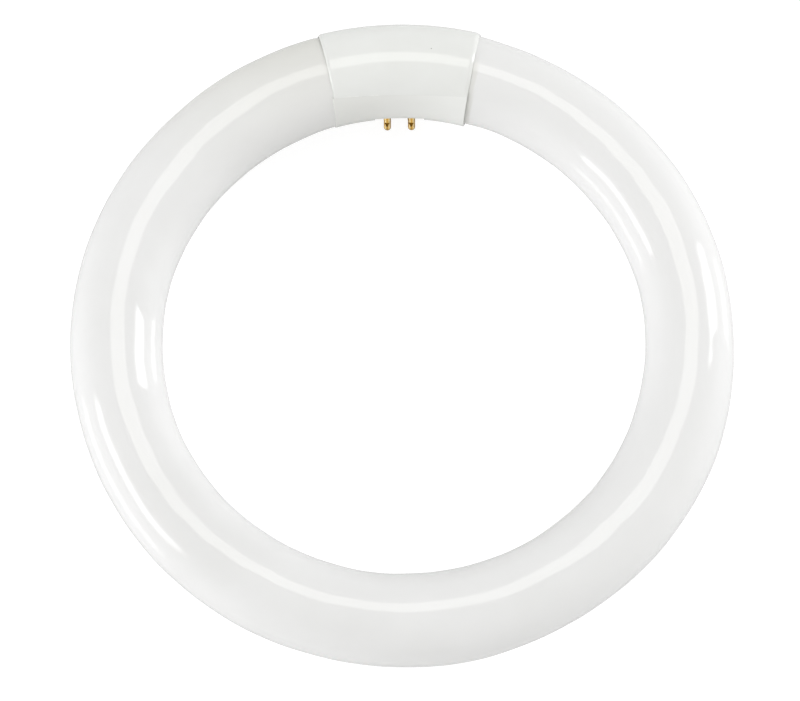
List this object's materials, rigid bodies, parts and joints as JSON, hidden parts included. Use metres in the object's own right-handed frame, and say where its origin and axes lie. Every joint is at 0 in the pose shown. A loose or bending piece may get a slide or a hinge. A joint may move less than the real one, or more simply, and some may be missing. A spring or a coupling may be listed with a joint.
{
  "type": "circular fluorescent tube",
  "caption": "Ring-shaped fluorescent tube of white-coated glass, its ends joined by a split plastic base with slanted brass contact pins.",
  "frame": {"origin": "on the ring's axis, in the plane that the pin tips rest on", "axes": "+Z along the ring's axis and up, +Y towards the base; the pins point towards -Y and -Z"},
  "size_m": [0.2108, 0.2122, 0.0317],
  "materials": {
    "coated_glass": "clear glossy glass over a white powder coating, opaque when unlit",
    "base_plastic": "moulded white plastic, satin gloss",
    "pin_brass": "drawn brass, bright",
    "lead_metal": "thin plated lead wire"
  },
  "bodies": {
    "root": {"glass_tube": "coated_glass", "base_cover": "base_plastic", "base_pin_half": "base_plastic", "contact_pin_right_upper": "pin_brass", "contact_pin_right_lower": "pin_brass", "contact_pin_left_upper": "pin_brass", "contact_pin_left_lower": "pin_brass", "lead_wire_right_upper": "lead_metal", "lead_wire_right_lower": "lead_metal", "lead_wire_left_upper": "lead_metal", "lead_wire_left_lower": "lead_metal"}
  },
  "joints": []
}
